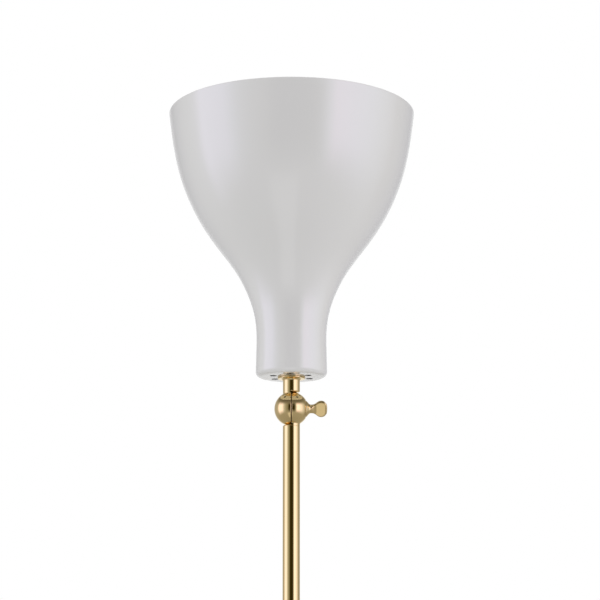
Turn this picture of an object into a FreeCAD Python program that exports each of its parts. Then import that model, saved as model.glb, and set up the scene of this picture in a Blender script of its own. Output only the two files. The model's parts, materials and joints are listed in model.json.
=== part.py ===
import FreeCAD, Part
import math
import os
from FreeCAD import Vector as V

# Adjustable arm floor lamp: a weighted round base, a two-piece tube stem joined
# by a split-ball swivel, and a spun trumpet shade on a second split-ball swivel.
# Millimetres. Origin at the centre of the base's underside, +Z up, the thumb
# screws point along +X. Both swivels turn about X.

# ---- driving dimensions ----------------------------------------------------
# tube and swivel
TUBE_D = 12.7            # half-inch brass tube
TUBE_BORE_D = 10.0
BALL_D = 25.4            # one-inch split ball, two turned halves
SPLIT_GAP = 0.5          # between the two half-balls, filled by a friction ring
NECK_FLAT = 12.4         # height of each neck's flat underside from the ball centre
NECK_BORE_D = 8.0        # wireway through each neck
PADDLE_TURN = 25.0          # where the tightened spade head comes to rest, degrees about +X
TUBE_SEAT = 14.0         # where the tube starts, from the ball centre
SPIGOT_L = 12.0          # threaded spigot inside the tube
ELBOW_Z = 830.0          # centre of the elbow ball
ARM_LENGTH = 457.2       # ball centre to ball centre, 18 inches
HEAD_Z = ELBOW_Z + ARM_LENGTH
# thumb screw
SCREW_D = 5.0
SEAT_X = 10.6            # flat on the ball under the washer
SCREW_WASHER_T = 0.5
PADDLE_T = 2.8
# shade
SHADE_WALL = 1.0
SHADE_FLOOR = 23.84      # underside of the shade above the head ball's centre
SHADE_FILLET = 4.0
SHADE_PROFILE = [        # height above the shade's underside, outer radius
    (4.0, 26.63), (12.0, 26.47), (24.0, 26.21), (36.0, 26.43), (46.0, 27.73),
    (56.0, 30.37), (66.0, 34.36), (78.0, 40.56), (90.0, 48.79), (104.0, 59.32),
    (120.0, 69.75), (136.0, 77.86), (152.0, 83.97), (168.0, 88.21),
    (184.0, 91.16), (202.8, 93.70)]
VENT_D = 4.5
VENT_RING_R = 15.0
VENT_ANGLES = (26, 86, 146, 206, 266, 326)
RING_D = 20.5            # brass seat ring under the shade
# base
BASE_D = 260.0
BASE_EDGE_H = 20.0
BASE_CROWN_H = 25.0
COVER_T = 0.9
COVER_RIM_Z = 1.2
FELT_T = 2.0
FELT_R = 121.0
WEIGHT_R = 124.0
RECESS_Z = 13.5          # ceiling of the wiring recess under the weight
INLET_Z = 9.6
INLET_R = 3.5            # for a round cord of up to 6.8 mm
# threaded wireway nipples, M10 x 1
NIPPLE_R = 4.9
NIPPLE_BORE_R = 3.6
LEAD_R = 1.1             # single insulated conductor
LEAD_X = 1.35

R_TUBE = TUBE_D / 2.0
R_BORE = TUBE_BORE_D / 2.0
R_BALL = BALL_D / 2.0
R_WAY = NECK_BORE_D / 2.0
HALF = SPLIT_GAP / 2.0

os.makedirs("parts", exist_ok=True)
made = []


# ---- helpers -----------------------------------------------------------------
def save(name, shape):
    if shape.ShapeType == "Compound" and len(shape.Solids) == 1:
        shape = shape.Solids[0]
    assert shape.isValid(), name
    assert shape.Volume > 0, name
    shape.exportStep("parts/%s.step" % name)
    made.append((name, len(shape.Solids), shape.Volume))


def cyl(r, z0, z1, x=0.0, y=0.0):
    return Part.makeCylinder(r, z1 - z0, V(x, y, z0), V(0, 0, 1))


def cyl_x(r, x0, x1, y=0.0, z=0.0):
    return Part.makeCylinder(r, x1 - x0, V(x0, y, z), V(1, 0, 0))


def cyl_y(r, y0, y1, x=0.0, z=0.0):
    return Part.makeCylinder(r, y1 - y0, V(x, y0, z), V(0, 1, 0))


def box(x0, x1, y0, y1, z0, z1):
    return Part.makeBox(x1 - x0, y1 - y0, z1 - z0, V(x0, y0, z0))


def moved(shape, z=0.0, x=0.0, y=0.0):
    s = shape.copy()
    s.translate(V(x, y, z))
    return s


def pt(r, z):
    return V(r, 0, z)


def line(a, b):
    return Part.LineSegment(a, b).toShape()


def arc(a, m, b):
    return Part.Arc(a, m, b).toShape()


def rounded(points):
    """Closed (r, z) outline. Each entry is (r, z) or (r, z, corner radius)."""
    n = len(points)
    ins, outs, mids = [], [], []
    for i, p in enumerate(points):
        c = pt(p[0], p[1])
        if len(p) < 3 or not p[2]:
            ins.append(c), outs.append(c), mids.append(None)
            continue
        a = pt(*points[i - 1][:2]) - c
        b = pt(*points[(i + 1) % n][:2]) - c
        a.normalize()
        b.normalize()
        half = math.acos(max(-1.0, min(1.0, a.dot(b)))) / 2.0
        t = p[2] / math.tan(half)
        bis = a + b
        bis.normalize()
        centre = c + bis * (p[2] / math.sin(half))
        ins.append(c + a * t)
        outs.append(c + b * t)
        mids.append(centre - bis * p[2])
    edges = []
    for i in range(n):
        if mids[i] is not None:
            edges.append(arc(ins[i], mids[i], outs[i]))
        j = (i + 1) % n
        if (ins[j] - outs[i]).Length > 1e-6:
            edges.append(line(outs[i], ins[j]))
    return edges


def revolve(edges, z=0.0):
    face = Part.Face(Part.Wire(Part.__sortEdges__(edges)))
    solid = face.revolve(V(0, 0, 0), V(0, 0, 1), 360)
    if not isinstance(solid, Part.Solid):
        solid = Part.Solid(solid) if solid.ShapeType == "Shell" else solid
    if solid.Volume < 0:
        solid.reverse()
    return moved(solid, z) if z else solid


def turned(points, z=0.0):
    return revolve(rounded(points), z)


def hexagon(af, z0, z1, bore):
    r = af / math.sqrt(3.0)
    pts = [V(r * math.cos(math.radians(60 * k)), r * math.sin(math.radians(60 * k)), z0)
           for k in range(7)]
    body = Part.Face(Part.makePolygon(pts)).extrude(V(0, 0, z1 - z0))
    # the corners are turned down at 30 degrees on both faces
    h = z1 - z0
    c = 0.28 * (r - af / 2.0) * 2
    limit = turned([(0, z0), (af / 2.0 - 0.1, z0), (r + 0.01, z0 + c), (r + 0.01, z1 - c),
                    (af / 2.0 - 0.1, z1), (0, z1)])
    return body.common(limit).cut(cyl(bore, z0 - 1, z1 + 1))


def toothed_washer(r_in, r_out, z0, t, teeth=12):
    body = cyl(r_out, z0, z0 + t).cut(cyl(r_in, z0 - 1, z0 + t + 1))
    cuts = []
    for k in range(teeth):
        a = 360.0 * k / teeth
        b = box(r_out - 1.3, r_out + 1, -0.55, 0.55, z0 - 1, z0 + t + 1)
        b.rotate(V(0, 0, 0), V(0, 0, 1), a)
        cuts.append(b)
    return body.cut(Part.makeCompound(cuts))


def route(points, radii, r):
    """A round conductor along straight runs joined by tangent arcs."""
    edges, at = [], points[0]
    for i in range(1, len(points) - 1):
        a = points[i - 1] - points[i]
        b = points[i + 1] - points[i]
        a.normalize()
        b.normalize()
        half = math.acos(max(-1.0, min(1.0, a.dot(b)))) / 2.0
        t = radii[i - 1] / math.tan(half)
        bis = a + b
        bis.normalize()
        centre = points[i] + bis * (radii[i - 1] / math.sin(half))
        p, q = points[i] + a * t, points[i] + b * t
        edges.append(line(at, p))
        edges.append(arc(p, centre - bis * radii[i - 1], q))
        at = q
    edges.append(line(at, points[-1]))
    wire = Part.Wire(edges)
    d = points[1] - points[0]
    ring = Part.Wire(Part.makeCircle(r, points[0], d))
    pipe = wire.makePipeShell([ring], True, True)
    want = math.pi * r * r * wire.Length
    assert abs(pipe.Volume / want - 1) < 0.02, (pipe.Volume, want)
    return pipe


# ---- split-ball swivel ---------------------------------------------------------
def neck_cove():
    """Ring of metal that rounds the corner between a ball and its neck."""
    f = 1.0
    rc = R_TUBE + f
    zc = math.sqrt((R_BALL + f) ** 2 - rc ** 2)
    a = pt(R_TUBE, zc)
    k = R_BALL / (R_BALL + f)
    b = pt(rc * k, zc * k)
    m = V(rc, 0, zc) + ((a + b) * 0.5 - V(rc, 0, zc)).normalize() * f
    inner = pt(R_TUBE - 1.2, zc - 2.2)
    top = pt(R_TUBE - 1.2, zc)
    return revolve([arc(a, m, b), line(b, inner), line(inner, top), line(top, a)])


def half_ball(neck_top, screw_r, hole_end):
    """Left half-ball (x < 0) with its neck rising along +Z.

    The neck's right half ends in a flat that clears the other half-ball. The
    friction ring and the other half's thumb-screw hole share the X axis.
    """
    ball = Part.makeSphere(R_BALL)
    left = box(-30, -HALF, -30, 30, -30, 30)
    body = ball.common(left)
    body = body.fuse(cyl(R_TUBE, 6.0, NECK_FLAT + 0.5).common(left))
    body = body.fuse(neck_cove().common(left))
    neck = turned([(0, NECK_FLAT), (R_TUBE, NECK_FLAT, 1.0), (R_TUBE, neck_top), (0, neck_top)])
    body = body.fuse(neck)
    # wireway: through the neck into a ring-shaped pocket around the screw boss
    way = cyl(R_WAY, 5.0, neck_top + 1).common(box(-30, -HALF, -30, 30, 0, NECK_FLAT))
    way = way.fuse(cyl(R_WAY, NECK_FLAT - 0.01, neck_top + 1))
    pocket = cyl_x(8.4, -5.5, 0).cut(cyl_x(3.9, -6, 0.5))
    body = body.cut(way).cut(pocket)
    # the pocket must not open through the neck's flat, so only x < -HALF is cut
    body = body.cut(cyl_x(screw_r, -hole_end, 0.5))
    return body.removeSplitter()


def mirror_x(shape):
    return shape.mirror(V(0, 0, 0), V(1, 0, 0))


def flip_z(shape):
    s = shape.copy()
    s.rotate(V(0, 0, 0), V(1, 0, 0), 180)
    return s


def spigot(z0):
    """Threaded spigot that fills the tube's bore above the neck."""
    return turned([(R_WAY, z0), (R_BORE - 0.05, z0), (R_BORE - 0.05, z0 + SPIGOT_L, 0.4),
                   (R_WAY, z0 + SPIGOT_L)])


# left half, neck up, carried by the upper tube of the elbow
upper_half = half_ball(TUBE_SEAT, SCREW_D / 2 + 0.05, 10.0).fuse(spigot(TUBE_SEAT)).removeSplitter()
# right half, neck down, carried by the lower tube; the screw's clearance hole and seat
clamp_half = half_ball(TUBE_SEAT, SCREW_D / 2 + 0.08, 14.0)
clamp_half = clamp_half.fuse(spigot(TUBE_SEAT)).cut(box(-14, -SEAT_X, -9, 9, -9, 9)).removeSplitter()
clamp_half = flip_z(mirror_x(clamp_half))

# the head's left half: its neck is the stub under the shade, threaded for a nipple
STUB_TOP = SHADE_FLOOR - 3.2
stub_half = half_ball(STUB_TOP, SCREW_D / 2 + 0.05, 10.0)
stub_half = stub_half.cut(cyl(NIPPLE_R + 0.1, 15.0, STUB_TOP + 1))

friction_ring = cyl_x(R_BALL - 0.9, -HALF + 0.02, HALF).cut(cyl_x(8.6, -1, 1))

# thumb screw along +X, drawn with its shank in both halves
cx0 = SEAT_X + SCREW_WASHER_T
screw_pts = [(0, -9.0), (SCREW_D / 2 - 0.5, -9.0), (SCREW_D / 2, -8.5), (SCREW_D / 2, cx0),
             (6.0, cx0)]
cone = [pt(6.0, cx0), pt(5.86, cx0 + 0.2), pt(5.2, 11.95), pt(4.25, 12.72), pt(3.52, 13.5),
        pt(3.18, 14.4), pt(3.15, 15.6)]
nose = [pt(3.15, 15.6), pt(3.0, 16.6), pt(2.55, 17.8), pt(1.95, 19.2), pt(1.35, 20.6), pt(0.7, 21.6)]
sp1 = Part.BSplineCurve()
sp1.interpolate(cone[1:])
sp2 = Part.BSplineCurve()
sp2.interpolate(nose)
edges = [line(pt(*screw_pts[i]), pt(*screw_pts[i + 1])) for i in range(4)]
edges += [line(cone[0], cone[1]), sp1.toShape(), sp2.toShape(),
          line(nose[-1], pt(0, 21.6)), line(pt(0, 21.6), pt(0, -9.0))]
screw_turned = revolve(edges)
screw_turned.rotate(V(0, 0, 0), V(0, 1, 0), 90)
half_outline = [(12.8, 2.9), (14.2, 3.05), (15.7, 3.12), (16.6, 3.32), (17.5, 3.80), (18.5, 4.55),
                (19.5, 5.33), (20.6, 5.93), (22.0, 6.14), (23.4, 5.98), (24.6, 5.38), (25.6, 4.22),
                (26.3, 2.52)]
outline = [V(x, -PADDLE_T / 2, z) for x, z in half_outline] + [V(26.62, -PADDLE_T / 2, 0)] + \
          [V(x, -PADDLE_T / 2, -z) for x, z in reversed(half_outline)]
rim = Part.BSplineCurve()
rim.interpolate(outline)
paddle = Part.Face(Part.Wire([rim.toShape(), line(outline[-1], outline[0])])).extrude(V(0, PADDLE_T, 0))
long_edges = [e for e in paddle.Edges if e.Length > 20]
try:
    rounded_paddle = paddle.makeFillet(1.05, long_edges)
    if rounded_paddle.isValid():
        paddle = rounded_paddle
    else:
        print("paddle fillet invalid")
except Exception as why:
    print("paddle fillet", why)
thumb_screw = screw_turned.fuse(paddle).removeSplitter()
thumb_screw.rotate(V(0, 0, 0), V(1, 0, 0), PADDLE_TURN)
screw_washer = cyl_x(6.1, SEAT_X, cx0).cut(cyl_x(SCREW_D / 2 + 0.08, 0, 20))

save("elbow_lower_knuckle", moved(clamp_half, ELBOW_Z))
save("elbow_upper_knuckle", moved(upper_half, ELBOW_Z))
save("elbow_friction_washer", moved(friction_ring, ELBOW_Z))
save("elbow_screw_washer", moved(screw_washer, ELBOW_Z))
save("elbow_thumb_screw", moved(thumb_screw, ELBOW_Z))
save("head_lower_knuckle", moved(clamp_half, HEAD_Z))
save("head_upper_knuckle", moved(stub_half, HEAD_Z))
save("head_friction_washer", moved(friction_ring, HEAD_Z))
save("head_screw_washer", moved(screw_washer, HEAD_Z))
save("head_thumb_screw", moved(thumb_screw, HEAD_Z))

# ---- tubes -----------------------------------------------------------------------
COLLAR_SEAT = BASE_CROWN_H + 2.0
lower_tube = cyl(R_TUBE, COLLAR_SEAT, ELBOW_Z - TUBE_SEAT).cut(cyl(R_BORE, 0, ELBOW_Z))
save("lower_stem_tube", lower_tube)
arm_tube = cyl(R_TUBE, ELBOW_Z + TUBE_SEAT, HEAD_Z - TUBE_SEAT).cut(cyl(R_BORE, ELBOW_Z, HEAD_Z))
save("arm_tube", arm_tube)

# ---- base ---------------------------------------------------------------------------
R_BASE = BASE_D / 2.0
felt = turned([(0, 0), (FELT_R, 0, 0.5), (FELT_R, FELT_T), (0, FELT_T)])
save("base_felt_pad", felt)

# spun cover: upright wall, rounded shoulder, shallow crown up to the collar
def cover_outline(off):
    r_out = R_BASE - off
    return [(r_out, COVER_RIM_Z), (r_out, BASE_EDGE_H - off, 6.0 - off),
            (16.0, BASE_CROWN_H - off), (5.2, BASE_CROWN_H - off)]

outer = cover_outline(0.0)
inner = cover_outline(COVER_T)
cover = turned(outer + list(reversed(inner)))
cover = cover.cut(cyl_y(5.6, 100, 140, z=INLET_Z))
save("base_cover", cover)

# cast weight under the cover; its underside has a wiring recess and a channel to the inlet
g = 0.35
weight = turned([(5.3, FELT_T), (WEIGHT_R, FELT_T, 1.0), (WEIGHT_R, BASE_EDGE_H - COVER_T - 1.9, 2.5),
                 (15.5, BASE_CROWN_H - COVER_T - g), (15.5, BASE_CROWN_H - COVER_T),
                 (5.3, BASE_CROWN_H - COVER_T)])
weight = weight.cut(cyl(24.0, FELT_T - 1, RECESS_Z))
weight = weight.cut(box(-12.0, 12.0, 10.0, 60.0, FELT_T - 1, RECESS_Z))
weight = weight.cut(box(-6.4, 6.4, 50.0, 140.0, FELT_T - 1, INLET_Z + 5.9))
save("base_weight", weight)

# cord inlet: a moulded bush that snaps through the cover into the channel
bush = cyl_y(5.4, 112.5, R_BASE + 0.1, z=INLET_Z)
flange = cyl_y(7.6, R_BASE + 0.1, R_BASE + 1.9, z=INLET_Z)
flange = flange.makeFillet(0.8, [e for e in flange.Edges
                                 if e.Curve.TypeId == "Part::GeomCircle"
                                 and e.CenterOfMass.y > R_BASE + 1.5])
bush = bush.fuse(flange).cut(cyl_y(INLET_R, 100, 140, z=INLET_Z))
mouth = Part.makeCone(INLET_R + 0.9, INLET_R, 0.9, V(0, R_BASE + 1.9, INLET_Z), V(0, -1, 0))
bush = bush.cut(mouth).removeSplitter()
save("cord_inlet_bush", bush)

nut_z1 = RECESS_Z - 0.8
save("base_lock_washer", toothed_washer(5.15, 9.0, nut_z1, 0.8))
save("base_nut", hexagon(14.0, nut_z1 - 4.0, nut_z1, 4.98))
nip = turned([(NIPPLE_BORE_R, 8.0), (NIPPLE_R, 8.0, 0.5), (NIPPLE_R, 48.0, 0.5), (NIPPLE_BORE_R, 48.0)])
save("base_nipple", nip)

collar = turned([(5.2, BASE_CROWN_H), (19.0, BASE_CROWN_H, 0.6), (19.0, BASE_CROWN_H + 3.2, 1.2),
                 (12.2, BASE_CROWN_H + 5.0, 2.4), (9.0, BASE_CROWN_H + 17.5, 1.0),
                 (R_TUBE + 0.05, BASE_CROWN_H + 17.5), (R_TUBE + 0.05, COLLAR_SEAT),
                 (5.2, COLLAR_SEAT)])
save("stem_collar", collar)

# terminal block for the supply cord, with four clamp screws
blk = box(-8.0, 8.0, 34.0, 52.0, FELT_T + 0.4, 12.6)
blk = blk.makeFillet(0.8, [e for e in blk.Edges if abs(e.tangentAt(0).z) > 0.9])
for sx in (-1, 1):
    blk = blk.cut(cyl_y(1.5, 33, 53, x=sx * 4.0, z=4.9))
    for yy in (38.0, 48.0):
        blk = blk.cut(cyl(1.75, 4.9, 14.0, x=sx * 4.0, y=yy))
blk = blk.cut(box(-0.6, 0.6, 33, 53, 9.5, 13.0))
blk = blk.cut(cyl(1.7, 0, 14, y=43.0))
save("terminal_block", blk)
screws = []
for sx in (-1, 1):
    for yy in (38.0, 48.0):
        s = cyl(1.65, 6.4, 11.4, x=sx * 4.0, y=yy)
        s = s.cut(box(sx * 4.0 - 2, sx * 4.0 + 2, yy - 0.3, yy + 0.3, 10.4, 12))
        screws.append(s)
save("terminal_screws", Part.makeCompound(screws))

# conductors: terminal block, nipple, stem, up to the elbow's neck
for name, sx in (("stem_lead_live", -1), ("stem_lead_neutral", 1)):
    pts = [V(sx * 4.0, 36.2, 4.9), V(sx * 4.0, 26.0, 4.9), V(sx * LEAD_X, 12.0, 4.9),
           V(sx * LEAD_X, 0.0, 4.9), V(sx * LEAD_X, 0.0, ELBOW_Z - NECK_FLAT - 1.0)]
    save(name, route(pts, [8.0, 8.0, 5.0], LEAD_R))
for name, sx in (("arm_lead_live", -1), ("arm_lead_neutral", 1)):
    save(name, cyl(LEAD_R, ELBOW_Z + NECK_FLAT + 1.0, HEAD_Z - NECK_FLAT - 1.0, x=sx * LEAD_X))

# ---- shade and its fixings (heights from the head ball's centre) ------------------------
z0 = SHADE_FLOOR
out_pts = [V(r, 0, z0 + h) for h, r in SHADE_PROFILE]
outer_curve = Part.BSplineCurve()
# the neck starts upright, tangent to the bottom fillet
outer_curve.interpolate(out_pts, InitialTangent=V(-0.02, 0, 1), FinalTangent=V(0.125, 0, 1))
n_samples = 40
inner_pts = []
u0, u1 = outer_curve.FirstParameter, outer_curve.LastParameter
for i in range(n_samples + 1):
    u = u0 + (u1 - u0) * i / n_samples
    p = outer_curve.value(u)
    t = outer_curve.tangent(u)[0]
    if t.z < 0:
        t = -t
    nrm = V(-t.z, 0, t.x)
    inner_pts.append(p + nrm * SHADE_WALL)
inner_curve = Part.BSplineCurve()
inner_curve.interpolate(inner_pts)
f = SHADE_FILLET
fi = f - SHADE_WALL
a0 = out_pts[0]
b0 = inner_pts[0]
s45 = math.sqrt(0.5)
c_out = V(a0.x - f, 0, z0 + f)
rim_o, rim_i = out_pts[-1], inner_pts[-1]
t_end = outer_curve.tangent(u1)[0]
if t_end.z < 0:
    t_end = -t_end
edges = [
    line(V(5.1, 0, z0), V(a0.x - f, 0, z0)),
    arc(V(a0.x - f, 0, z0), c_out + V(f * s45, 0, -f * s45), a0),
    outer_curve.toShape(),
    arc(rim_o, (rim_o + rim_i) * 0.5 + t_end * (SHADE_WALL / 2), rim_i),
    inner_curve.toShape(),
    arc(b0, V(b0.x - fi, 0, z0 + f) + V(fi * s45, 0, -(f - SHADE_WALL) * s45), V(b0.x - fi, 0, z0 + SHADE_WALL)),
    line(V(b0.x - fi, 0, z0 + SHADE_WALL), V(5.1, 0, z0 + SHADE_WALL)),
    line(V(5.1, 0, z0 + SHADE_WALL), V(5.1, 0, z0)),
]
shade = revolve(edges)
vents = [cyl(VENT_D / 2, z0 - 2, z0 + 4, x=VENT_RING_R * math.cos(math.radians(a)),
             y=VENT_RING_R * math.sin(math.radians(a))) for a in VENT_ANGLES]
shade = shade.cut(Part.makeCompound(vents))
save("shade", moved(shade, HEAD_Z))

ring = turned([(5.0, STUB_TOP), (R_TUBE, STUB_TOP), (R_TUBE, z0 - 1.4, 1.75), (RING_D / 2, z0 - 1.4, 0.5),
               (RING_D / 2, z0, 0.35), (5.0, z0)])
save("shade_seat_ring", moved(ring, HEAD_Z))

nip_top = 37.0
nip = turned([(NIPPLE_BORE_R, 15.3), (NIPPLE_R, 15.3, 0.5), (NIPPLE_R, nip_top, 0.5), (NIPPLE_BORE_R, nip_top)])
save("shade_nipple", moved(nip, HEAD_Z))
zf = z0 + SHADE_WALL
save("shade_lock_washer", moved(toothed_washer(5.15, 9.0, zf, 0.8), HEAD_Z))
save("shade_nut", moved(hexagon(14.0, zf + 0.8, zf + 3.8, 4.98), HEAD_Z))

# ---- lampholder, E26 -----------------------------------------------------------------
CAP0 = zf + 4.2
cap = turned([(5.0, CAP0), (9.5, CAP0, 1.0), (18.6, CAP0 + 11.0, 2.5), (18.6, CAP0 + 17.0, 0.5),
              (16.6, CAP0 + 17.0), (16.6, CAP0 + 11.6, 1.5), (9.2, CAP0 + 5.6), (8.4, nip_top - 0.4, 0.4),
              (5.0, nip_top - 0.4)])
save("socket_cap", moved(cap, HEAD_Z))
BODY0 = CAP0 + 17.0
BODY1 = BODY0 + 39.0
ins0 = CAP0 + 15.6
body = turned([(14.9, BODY0 + 9.0), (16.4, BODY0 + 9.0), (16.4, BODY0), (18.6, BODY0, 0.5),
               (18.6, BODY1 - 8.0, 0.6), (19.8, BODY1 - 7.0, 0.6), (19.8, BODY1, 0.9), (15.2, BODY1, 0.6),
               (15.2, BODY1 - 5), (14.9, BODY1 - 5)])
# grip ribs around the mouth
grip = []
for k in range(24):
    g_ = cyl(0.7, BODY1 - 6.2, BODY1 - 1.0, x=20.2)
    g_.rotate(V(0, 0, 0), V(0, 0, 1), 15 * k)
    grip.append(g_)
body = body.cut(Part.makeCompound(grip))
save("socket_body", moved(body, HEAD_Z))
INS1 = BODY0 + 8.8
insul = cyl(16.2, ins0, INS1).cut(cyl(2.2, ins0 - 1, INS1 - 2.0))
for sx in (-1, 1):
    insul = insul.cut(cyl(1.8, ins0 - 1, ins0 + 5.0, x=sx * 9.5))
insul = insul.cut(box(-16.4, 16.4, 13.4, 17, ins0 - 1, INS1 + 1)).cut(box(-16.4, 16.4, -17, -13.4, ins0 - 1, INS1 + 1))
save("socket_insulator", moved(insul, HEAD_Z))

shell_z0 = INS1 + 0.05
# rolled thread: rounded ribs at the E26 pitch of 3.63 mm
PITCH = 3.629


def ribbed(r_crest, r_root, zs, ze, wall, inward):
    """Thin sleeve with rounded thread ribs."""
    n = int((ze - zs) / PITCH)
    pts = []
    steps = n * 8
    for i in range(steps + 1):
        z = zs + (ze - zs) * i / steps
        ph = (z - zs) / PITCH * 2 * math.pi
        pts.append((0.5 * (r_crest + r_root) - 0.5 * (r_crest - r_root) * math.cos(ph), z))
    outer_c = Part.BSplineCurve()
    outer_c.interpolate([pt(r, z) for r, z in pts])
    inner_c = Part.BSplineCurve()
    inner_c.interpolate([pt(r - wall, z) for r, z in pts])
    a, b = outer_c.toShape(), inner_c.toShape()
    return [a, b, line(pt(pts[0][0], zs), pt(pts[0][0] - wall, zs)),
            line(pt(pts[-1][0], ze), pt(pts[-1][0] - wall, ze))]


n_ribs = 6
shell = revolve(ribbed(14.8, 14.0, shell_z0, shell_z0 + PITCH * n_ribs, 0.45, True))
shell = shell.fuse(cyl(14.45, shell_z0, shell_z0 + 0.45).cut(cyl(7.5, 0, 100))).removeSplitter()
save("socket_screw_shell", moved(shell, HEAD_Z))
contact = box(-3.2, 3.2, -2.6, 5.4, INS1 + 0.05, INS1 + 0.65)
rise = box(-3.2, 3.2, 4.8, 5.4, INS1 + 0.65, INS1 + 3.2)
tab = box(-3.2, 3.2, -3.6, 5.4, INS1 + 3.2, INS1 + 3.8)
contact = contact.fuse(rise).fuse(tab).removeSplitter()
save("socket_contact", moved(contact, HEAD_Z))
ts = []
for sx in (-1, 1):
    s = cyl(1.7, ins0 - 0.1, ins0 + 4.6, x=sx * 9.5).fuse(cyl(3.2, ins0 - 1.9, ins0 - 0.1, x=sx * 9.5))
    s = s.cut(box(sx * 9.5 - 4, sx * 9.5 + 4, -0.4, 0.4, ins0 - 3, ins0 - 1.1))
    ts.append(s.removeSplitter())
save("socket_terminal_screws", moved(Part.makeCompound(ts), HEAD_Z))
zt = ins0 - 1.1
for name, sx in (("head_lead_live", -1), ("head_lead_neutral", 1)):
    pts = [V(sx * LEAD_X, 0, NECK_FLAT + 1.0), V(sx * LEAD_X, 0, zt - 0.4), V(sx * 6.2, 0, zt - 0.4)]
    save(name, moved(route(pts, [2.6], LEAD_R), HEAD_Z))

# ---- lamp, A19 on E26 -------------------------------------------------------------------
TIP = INS1 + 3.85
save("bulb_contact", moved(turned([(0, TIP), (3.4, TIP, 0.6), (4.6, TIP + 1.2, 0.4), (4.6, TIP + 1.9), (0, TIP + 1.9)]), HEAD_Z))
save("bulb_insulator", moved(turned([(0, TIP + 1.9), (4.7, TIP + 1.9, 0.3), (11.0, TIP + 5.2, 0.8), (11.0, TIP + 6.6), (0, TIP + 6.6)]), HEAD_Z))
c0 = TIP + 6.6
cap_edges = ribbed(13.15, 12.3, c0 + 0.4, c0 + 0.4 + PITCH * 4, 0.4, False)
sleeve = revolve(cap_edges)
lip = turned([(12.3 - 0.4, c0 + 0.4 + PITCH * 4), (12.3, c0 + 0.4 + PITCH * 4), (13.3, c0 + 5.5 + PITCH * 4, 0.5),
              (13.3, c0 + 7.5 + PITCH * 4, 0.3), (12.7, c0 + 7.5 + PITCH * 4), (12.7, c0 + 5.7 + PITCH * 4)])
foot = turned([(11.1, c0), (12.3, c0, 0.3), (12.3, c0 + 0.4), (11.1, c0 + 0.4)])
save("bulb_cap", moved(sleeve.fuse(lip).fuse(foot).removeSplitter(), HEAD_Z))
g0 = c0 + 6.2 + PITCH * 4
gl = [(12.5, g0), (12.6, g0 + 4), (13.2, g0 + 10), (15.6, g0 + 19), (20.6, g0 + 28), (26.4, g0 + 37),
      (29.4, g0 + 45), (29.9, g0 + 52), (28.6, g0 + 60), (24.6, g0 + 68), (17.6, g0 + 74.6), (8.8, g0 + 77.8), (0, g0 + 78.6)]
GLASS = 0.9
g_out = Part.BSplineCurve()
g_out.interpolate([pt(r, z) for r, z in gl], InitialTangent=V(0, 0, 1), FinalTangent=V(-1, 0, 0))
g_in_pts = []
for i in range(41):
    u = g_out.FirstParameter + (g_out.LastParameter - g_out.FirstParameter) * i / 40.0
    p, t = g_out.value(u), g_out.tangent(u)[0]
    q = p + V(-t.z, 0, t.x) * GLASS
    if i == 40:
        q = V(0, 0, p.z - GLASS)
    g_in_pts.append(q)
g_in = Part.BSplineCurve()
g_in.interpolate(g_in_pts, InitialTangent=V(0, 0, 1), FinalTangent=V(-1, 0, 0))
glass = revolve([g_out.toShape(), g_in.toShape(), line(pt(gl[0][0], g0), g_in_pts[0]),
                 line(pt(0, gl[-1][1]), g_in_pts[-1])])
save("bulb_glass", moved(glass, HEAD_Z))
mount = turned([(0, g0 + 1.0), (11.0, g0 + 1.0, 1.0), (5.0, g0 + 6.5, 2.0), (2.6, g0 + 24.0, 1.0), (0, g0 + 24.0)])
save("bulb_mount", moved(mount, HEAD_Z))
fil = []
for k in range(4):
    a = math.radians(90 * k + 45)
    lo, hi = V(2.0 * math.cos(a), 2.0 * math.sin(a), g0 + 24.3), V(9.0 * math.cos(a), 9.0 * math.sin(a), g0 + 56.0)
    fil.append(Part.makeCylinder(0.9, (hi - lo).Length, lo, hi - lo))
save("bulb_filament", moved(Part.makeCompound(fil), HEAD_Z))

for name, n, vol in made:
    print("%-26s solids %d  %.1f mm3" % (name, n, vol))
print("nodes", len(made))
print("lead bends in the base: 8, 8 and 5 mm radius on a 2.2 mm conductor; in the socket cap: 2.6 mm")
print("bulb top above head ball", g0 + 78.6, "rim", z0 + 203.3, "socket top", BODY1)
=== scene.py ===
import json
import math

import bmesh
import bpy
import numpy as np
from mathutils import Matrix, Vector


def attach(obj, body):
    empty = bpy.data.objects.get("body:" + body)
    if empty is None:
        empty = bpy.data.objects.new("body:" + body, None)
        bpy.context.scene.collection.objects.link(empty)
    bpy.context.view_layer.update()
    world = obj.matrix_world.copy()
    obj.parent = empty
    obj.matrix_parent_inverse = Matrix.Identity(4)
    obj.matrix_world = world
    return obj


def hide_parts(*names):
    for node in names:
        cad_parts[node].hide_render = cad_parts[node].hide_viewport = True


# Adjustable arm floor lamp: turned and spun surfaces rebuilt at full smoothness
# around the frame, procedural materials, studio light and the camera.
# Mesh code works in millimetres about a local centre and is scaled at the end.

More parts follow.
